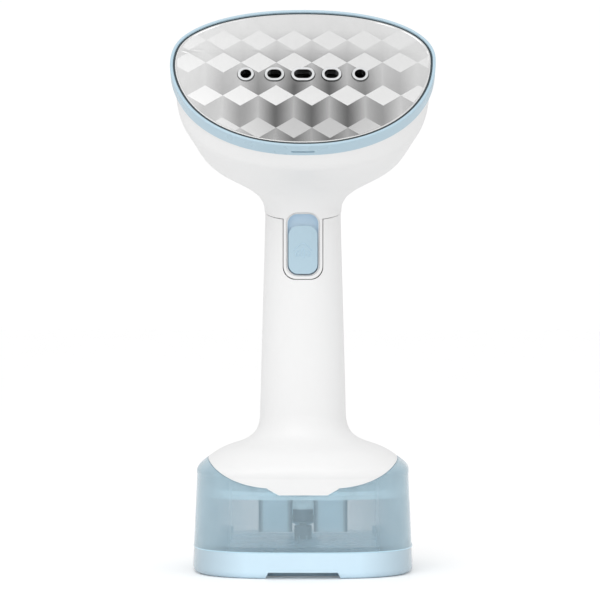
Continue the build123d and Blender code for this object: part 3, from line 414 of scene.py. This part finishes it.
def metal(name, color, roughness, scale=700, stretch=(1, 1, 0.1), depth=0.03):
    """A bare metal with drawn streaks and small changes of gloss."""
    material, tree, shader = new_material(name)
    streaks = noise_at(tree, scale, 4, stretch)
    stain = noise_at(tree, 60, 3)
    shade = map_range(tree, stain.outputs["Fac"], 0.88, 1.04)
    tree.links.new(scaled(tree, color, shade), shader.inputs["Base Color"])
    rough = map_range(tree, streaks.outputs["Fac"], roughness * 0.75, roughness * 1.3)
    tree.links.new(rough, shader.inputs["Roughness"])
    shader.inputs["Metallic"].default_value = 1.0
    bump = tree.nodes.new("ShaderNodeBump")
    bump.inputs["Strength"].default_value = depth
    bump.inputs["Distance"].default_value = 0.0002
    tree.links.new(streaks.outputs["Fac"], bump.inputs["Height"])
    tree.links.new(bump.outputs[0], shader.inputs["Normal"])
    return material


finish(metal("eyelet steel", (0.72, 0.73, 0.74), 0.16), "steam_nozzles")
finish(
    metal("zinc plate", (0.6, 0.61, 0.63), 0.32),
    "heating_element", "element_terminals", "heater_screws", "thermostat", "case_screws",
    "clamp_screws", "trigger_pin", "trigger_spring", "board_screws", "pump_yoke", "pump_plunger",
    "pump_spring_lower", "pump_spring_upper", "dock_screws", "base_screws", "cap_pin",
)
finish(
    metal("cast aluminium", (0.42, 0.42, 0.43), 0.5, scale=1400, stretch=(1, 1, 1), depth=0.25),
    "heater_block", "heat_shield",
)


# ---- Trigger ----
# Pale blue button that tips on a pin, in a slide that can be pushed up to lock it.
# It carries a raised steam sign: a drop between two curls, under an arch.

button_blue = moulded("button blue", (0.415, 0.56, 0.65), 0.36, cloud=0.03, grain=0.06)
finish(button_blue, "trigger_button")
# The ledge's blue is painted lighter than the button's to make up for the shade in its recess.
ledge_blue_painted_light = moulded("ledge blue", (0.62, 0.78, 0.91), 0.45, cloud=0.04)
finish(ledge_blue_painted_light, "trigger_surround")


def along(tree, axis, kind="Object"):
    """Place of a point of the piece along one axis, or its direction with the kind Normal."""
    place = tree.nodes.new("ShaderNodeTexCoord")
    position = tree.nodes.new("ShaderNodeSeparateXYZ")
    tree.links.new(place.outputs[kind], position.inputs[0])
    return position.outputs[axis]


def grain_node(material):
    """The node that gives a moulded material its colour and grain."""
    return next(node for node in material.node_tree.nodes if node.type == "GROUP")


def white_rim(material, front):
    """Give the faces that look out from beyond a given depth the casing's colour."""
    tree = material.node_tree
    surface = grain_node(material)
    outer = map_range(tree, along(tree, "Y"), 1, 0, front - 0.0001, front + 0.0001)
    facing = map_range(tree, along(tree, "Y", "Normal"), 1, 0, -0.6, -0.4)
    mixed = tree.nodes.new("ShaderNodeMix")
    mixed.data_type = "RGBA"
    mixed.inputs[6].default_value = surface.inputs["Color"].default_value
    mixed.inputs[7].default_value = (*casing_color, 1)
    tree.links.new(arithmetic(tree, "MULTIPLY", outer, facing), mixed.inputs[0])
    tree.links.new(mixed.outputs[2], surface.inputs["Color"])


rim_front = -0.0165  # the tray's ledge lies deeper than this, and its rim further out
white_rim(ledge_blue_painted_light, rim_front)

button_low, button_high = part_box("trigger_button")
sign_x = (button_low.x + button_high.x) / 2
sign_z = button_low.z + (button_high.z - button_low.z) * 0.46
sign_stroke = 0.00021
# each stroke of the sign: its points across and up from the sign's middle, and whether it closes
sign_strokes = (
    (((0, 0.0022), (0.0010, -0.0008), (0, -0.0028), (-0.0010, -0.0008)), True),
    (((-0.0017, 0.0006), (-0.0034, -0.0004), (-0.0030, -0.0022), (-0.0017, -0.0014)), False),
    (((0.0017, 0.0006), (0.0034, -0.0004), (0.0030, -0.0022), (0.0017, -0.0014)), False),
    (
        ((-0.0041, 0.0006), (-0.0023, 0.0024), (0, 0.0040), (0.0023, 0.0024), (0.0041, 0.0006)),
        False,
    ),
)
strokes = bpy.data.curves.new("steam_sign", "CURVE")
strokes.dimensions = "3D"
strokes.bevel_depth = sign_stroke
strokes.bevel_resolution = 3
strokes.use_fill_caps = True
for points, closed in sign_strokes:
    spline = strokes.splines.new("NURBS")
    spline.points.add(len(points) - 1)
    for point, (across, up) in zip(spline.points, points):
        point.co = (sign_x + across, 0, sign_z + up, 1)
    spline.order_u = 3
    spline.use_cyclic_u = closed
    spline.use_endpoint_u = not closed
sign = bpy.data.objects.new("steam_sign", strokes)
bpy.context.collection.objects.link(sign)
bpy.ops.object.select_all(action="DESELECT")
sign.select_set(True)
bpy.context.view_layer.objects.active = sign
bpy.ops.object.convert(target="MESH")
button_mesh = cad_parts["trigger_button"].data
button_skin = BVHTree.FromPolygons(
    [vertex.co.copy() for vertex in button_mesh.vertices],
    [tuple(face.vertices) for face in button_mesh.polygons],
)
for vertex in sign.data.vertices:
    start = Vector((vertex.co.x, button_low.y - 0.01, vertex.co.z))
    hit = button_skin.ray_cast(start, Vector((0, 1, 0)))[0]
    vertex.co.y += hit.y
bpy.ops.object.shade_smooth()
sign.data.materials.append(moulded("sign blue", (0.45, 0.61, 0.72), 0.3, cloud=0.03))
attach(sign, "trigger")


# ---- Inner plastics, board, winding and hoses ----
# Grey nylon carriers, the switch, the pump's body, the laminate board with its parts, the taped
# copper winding and the soft hoses. They only show when the part is opened.

finish(
    moulded("grey nylon", (0.30, 0.32, 0.33), 0.55, cloud=0.1, grain=0.12),
    "lock_slide", "microswitch", "terminal_block", "pump_body", "cord_clamp", "water_filter",
    "dock_spigot", "thermal_fuse", "board_parts",
)
finish(moulded("mount rubber", (0.05, 0.05, 0.055), 0.7, cloud=0.2), "pump_mounts")
finish(
    moulded("hose silicone", (0.62, 0.65, 0.66), 0.4, cloud=0.1),
    "inlet_hose", "outlet_hose", "dip_tube",
)
finish(
    moulded("valve rubber", (0.045, 0.085, 0.12), 0.4, cloud=0.15),
    "outlet_valve", "valve_flap", "switch_plunger",
)


def patterned(name, color, second, scale, roughness):
    """A surface with fine parallel bands of a second colour, as copper tracks or turns of wire."""
    material, tree, shader = new_material(name)
    place = tree.nodes.new("ShaderNodeTexCoord")
    bands = tree.nodes.new("ShaderNodeTexWave")
    bands.bands_direction = "Z"
    bands.inputs["Scale"].default_value = scale
    bands.inputs["Distortion"].default_value = 1.5
    tree.links.new(place.outputs["Object"], bands.inputs["Vector"])
    mixed = tree.nodes.new("ShaderNodeMix")
    mixed.data_type = "RGBA"
    mixed.inputs[6].default_value = (*color, 1)
    mixed.inputs[7].default_value = (*second, 1)
    tree.links.new(bands.outputs["Fac"], mixed.inputs[0])
    tree.links.new(mixed.outputs[2], shader.inputs["Base Color"])
    bump = tree.nodes.new("ShaderNodeBump")
    bump.inputs["Strength"].default_value = 0.3
    bump.inputs["Distance"].default_value = 0.0002
    tree.links.new(bands.outputs["Fac"], bump.inputs["Height"])
    tree.links.new(bump.outputs[0], shader.inputs["Normal"])
    shader.inputs["Roughness"].default_value = roughness
    return material


board_green, board_track = (0.02, 0.14, 0.05), (0.05, 0.26, 0.1)
finish(patterned("board laminate", board_green, board_track, 260, 0.4), "circuit_board")
copper_dark, copper_bright = (0.32, 0.11, 0.04), (0.62, 0.28, 0.12)
finish(patterned("copper winding", copper_dark, copper_bright, 420, 0.35), "pump_coil")


# ---- Dock and tank ----
# Clear pale blue styrene: the tank's wall and deck, the deck's two pockets, and the dock whose
# hollow posts slide into them. Each is moulded on its own, and the deck is welded into the wall.

def clear_plastic(name, color, face_alpha, edge_alpha, painted_glow, blend=0.35):
    """Tinted clear plastic, denser at a slant, with a faint painted glow that stands in for the
    light it scatters.
    """
    material, tree, shader = new_material(name)
    cloud = noise_at(tree, 45, 3)
    shade = map_range(tree, cloud.outputs["Fac"], 0.94, 1.05)
    tint = scaled(tree, color, shade)
    tree.links.new(tint, shader.inputs["Base Color"])
    tree.links.new(tint, shader.inputs["Emission Color"])
    shader.inputs["Emission Strength"].default_value = painted_glow
    flow = noise_at(tree, 160, 3, (1, 1, 0.4))
    rough = map_range(tree, flow.outputs["Fac"], 0.12, 0.22)
    tree.links.new(rough, shader.inputs["Roughness"])
    slant = tree.nodes.new("ShaderNodeLayerWeight")
    slant.inputs["Blend"].default_value = blend
    density = map_range(tree, slant.outputs["Facing"], face_alpha, edge_alpha, 0.0, 1.0)
    tree.links.new(density, shader.inputs["Alpha"])
    bump = tree.nodes.new("ShaderNodeBump")
    bump.inputs["Strength"].default_value = 0.03
    bump.inputs["Distance"].default_value = 0.0003
    tree.links.new(flow.outputs["Fac"], bump.inputs["Height"])
    tree.links.new(bump.outputs[0], shader.inputs["Normal"])
    return material


def painted_wall_shade(material, middle, inner, outer, shade):
    """Paint shade on a pair of clear posts towards their side walls, and make them denser there."""
    tree = material.node_tree
    shader = tree.nodes["Principled BSDF"]
    across = arithmetic(tree, "ABSOLUTE", along(tree, "X"), 0)
    offset = arithmetic(tree, "SUBTRACT", across, middle)
    wall = map_range(tree, arithmetic(tree, "ABSOLUTE", offset, 0), 0, 1, inner, outer)
    plain_alpha = shader.inputs["Alpha"].links[0].from_socket
    tree.links.new(arithmetic(tree, "MAXIMUM", wall, plain_alpha), shader.inputs["Alpha"])
    plain_color = shader.inputs["Base Color"].links[0].from_socket
    # painted shade towards the side walls, in both tint and glow
    tint = scaled(tree, plain_color, map_range(tree, wall, 1, shade, 0, 1))
    tree.links.new(tint, shader.inputs["Base Color"])
    tree.links.new(tint, shader.inputs["Emission Color"])


# The glow of each clear plastic is painted light; the deck's is strongest, to lighten the zone
# behind the tank's front.
tank_clear = clear_plastic("tank clear", (0.34, 0.455, 0.52), 0.32, 0.85, 0.14, blend=0.75)
finish(tank_clear, "tank_shell")
finish(clear_plastic("deck clear", (0.62, 0.78, 0.84), 0.4, 0.8, 0.42), "tank_deck")
finish(clear_plastic("dock clear", (0.62, 0.77, 0.83), 0.5, 0.8, 0.22), "dock_tray")
pocket_clear = clear_plastic("pocket clear", (0.58, 0.72, 0.79), 0.5, 0.8, 0.22)
pocket_middle = 0.0120  # of each pocket, to either side
painted_wall_shade(pocket_clear, pocket_middle, 0.0050, 0.0066, 0.15)
finish(pocket_clear, "latch_pockets")


# ---- Tank base ----
# Glossy pale blue foot, moulded on its own and welded under the tank, with painted shade darkening
# it towards its ends. The weld leaves a thin raised bead all round the joint.

base_color = (0.60, 0.775, 0.89)
base_blue = moulded("base blue", base_color, 0.2, cloud=0.03, coat=0.4)
base_tree = base_blue.node_tree
# painted shade that darkens the foot towards its ends
end_distance = arithmetic(base_tree, "ABSOLUTE", along(base_tree, "X"), 0)
painted_end_shade = map_range(base_tree, end_distance, 1.0, 0.6, 0.024, 0.047)
base_tree.links.new(scaled(base_tree, base_color, painted_end_shade), grain_node(base_blue).inputs["Color"])
finish(base_blue, "tank_base")

bead_radius = 0.0003
bead_sink = 0.0001
base_low, base_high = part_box("tank_base")
foot_half_width = (base_high.x - base_low.x) / 2
foot_half_depth = (base_high.y - base_low.y) / 2
bead_half_width = foot_half_width * 0.9897 - bead_sink
bead_half_depth = foot_half_depth * 0.9923 - bead_sink
foot_corner = 3.0  # exponent of the foot's rounded outline
bpy.ops.object.select_all(action="DESELECT")
bpy.ops.curve.primitive_nurbs_circle_add(radius=1)
bead = bpy.context.object
bead.name = "weld_bead"
bead.data.resolution_u = 24
bpy.ops.object.convert(target="MESH")
for vertex in bead.data.vertices:
    turn = math.atan2(vertex.co.y, vertex.co.x)
    cosine, sine = math.cos(turn), math.sin(turn)
    vertex.co.x = bead_half_width * math.copysign(abs(cosine) ** (2 / foot_corner), cosine)
    vertex.co.y = bead_half_depth * math.copysign(abs(sine) ** (2 / foot_corner), sine)
    vertex.co.z = base_high.z
bpy.ops.object.convert(target="CURVE")
bead.data.bevel_depth = bead_radius
bead.data.bevel_resolution = 2
bpy.ops.object.convert(target="MESH")
bpy.ops.object.shade_smooth()
bead.data.materials.clear()
bead.data.materials.append(moulded("bead blue", (0.50, 0.72, 0.84), 0.2, cloud=0.03, coat=0.3))
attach(bead, "tank")


# ---- Filling cap ----
# Pale blue cap on a pin at the rear, over the hole that the tank is filled through.
# A shallow thumb rib is moulded across its face.

finish(ring_blue, "fill_cap")
cap_low, cap_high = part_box("fill_cap")
rib_length, rib_height, rib_depth = 0.0085, 0.0016, 0.0009
cap_middle_z = cap_low.z + 0.0082  # below the cap's pin
bpy.ops.object.select_all(action="DESELECT")
bpy.ops.mesh.primitive_cube_add(size=1, location=(0, cap_high.y, cap_middle_z))
rib = bpy.context.object
rib.name = "cap_rib"
rib.scale = (rib_length, rib_depth, rib_height)
bpy.ops.object.transform_apply(location=True, rotation=True, scale=True)
softened = rib.modifiers.new("softened", "BEVEL")
softened.width = 0.0004
softened.segments = 3
bpy.ops.object.modifier_apply(modifier="softened")
bpy.ops.object.shade_smooth_by_angle(angle=math.radians(40))
rib.data.materials.append(ring_blue)
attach(rib, "cap")


# ---- Studio ----
# A plain pale floor in even soft light, with the front a little brighter than the sides.
# A broad lamp above the front gives the gloss and the soft shadow under the foot.

bpy.context.scene.view_settings.view_transform = "Standard"

bpy.ops.object.select_all(action="DESELECT")
bpy.ops.mesh.primitive_plane_add(size=12, location=(0, 2, 0))
floor = bpy.context.object
floor.name = "studio_floor"
bpy.ops.object.transform_apply(location=True, rotation=True, scale=True)
floor_paper, floor_tree, floor_shader = new_material("studio paper")
paper_noise = noise_at(floor_tree, 6, 2)
paper_tone = map_range(floor_tree, paper_noise.outputs["Fac"], 0.94, 0.96)
floor_tree.links.new(paper_tone, floor_shader.inputs["Base Color"])
paper_seen = floor_tree.nodes.new("ShaderNodeLightPath")
paper_glow = map_range(floor_tree, paper_seen.outputs["Is Camera Ray"], 0.0, 0.1, 0.0, 1.0)
floor_tree.links.new(paper_glow, floor_shader.inputs["Emission Strength"])
floor_shader.inputs["Roughness"].default_value = 0.5
floor_shader.inputs["Emission Color"].default_value = (1, 1, 1, 1)
floor_shader.inputs["Specular IOR Level"].default_value = 0.25
floor.data.materials.append(floor_paper)

sky = bpy.data.worlds.new("studio light")
bpy.context.scene.world = sky
sky.use_nodes = True
sky_tree = sky.node_tree
backdrop = sky_tree.nodes["Background"]
backdrop.inputs["Color"].default_value = (1, 1, 1, 1)
aim = sky_tree.nodes.new("ShaderNodeTexCoord")
parts = sky_tree.nodes.new("ShaderNodeSeparateXYZ")
sky_tree.links.new(aim.outputs["Generated"], parts.inputs[0])
forward = map_range(sky_tree, parts.outputs["Y"], 0.30, 0.0, -1.0, 0.3)
upward = map_range(sky_tree, parts.outputs["Z"], 0.0, 0.18, 0.0, 1.0)
evenly = 0.76  # light from every side alike
level = arithmetic(sky_tree, "ADD", arithmetic(sky_tree, "ADD", forward, upward), evenly)
sky_tree.links.new(level, backdrop.inputs["Strength"])
plain = sky_tree.nodes.new("ShaderNodeBackground")
plain.inputs["Color"].default_value = (1, 1, 1, 1)
plain.inputs["Strength"].default_value = 1.02
seen = sky_tree.nodes.new("ShaderNodeLightPath")
either = sky_tree.nodes.new("ShaderNodeMixShader")
sky_tree.links.new(seen.outputs["Is Camera Ray"], either.inputs["Fac"])
sky_tree.links.new(backdrop.outputs[0], either.inputs[1])
sky_tree.links.new(plain.outputs[0], either.inputs[2])
sky_tree.links.new(either.outputs[0], sky_tree.nodes["World Output"].inputs["Surface"])

bpy.ops.object.light_add(type="AREA", location=(-0.25, -0.8, 0.95))
lamp = bpy.context.object
lamp.data.size = 0.8
lamp.data.energy = 3.0
lamp.rotation_euler = (Vector((0, 0, 0.1)) - lamp.location).to_track_quat("-Z", "Y").to_euler()

# level camera in front of the object, at the middle of its height
eye = bpy.data.cameras.new("camera")
eye.lens = 137.16
eye.sensor_width = 36
eye.shift_x = -0.005
camera = bpy.data.objects.new("camera", eye)
bpy.context.collection.objects.link(camera)
camera.location = (0, -1.0, 0.1173)
camera.rotation_euler = (math.pi / 2, 0, 0)
bpy.context.scene.camera = camera
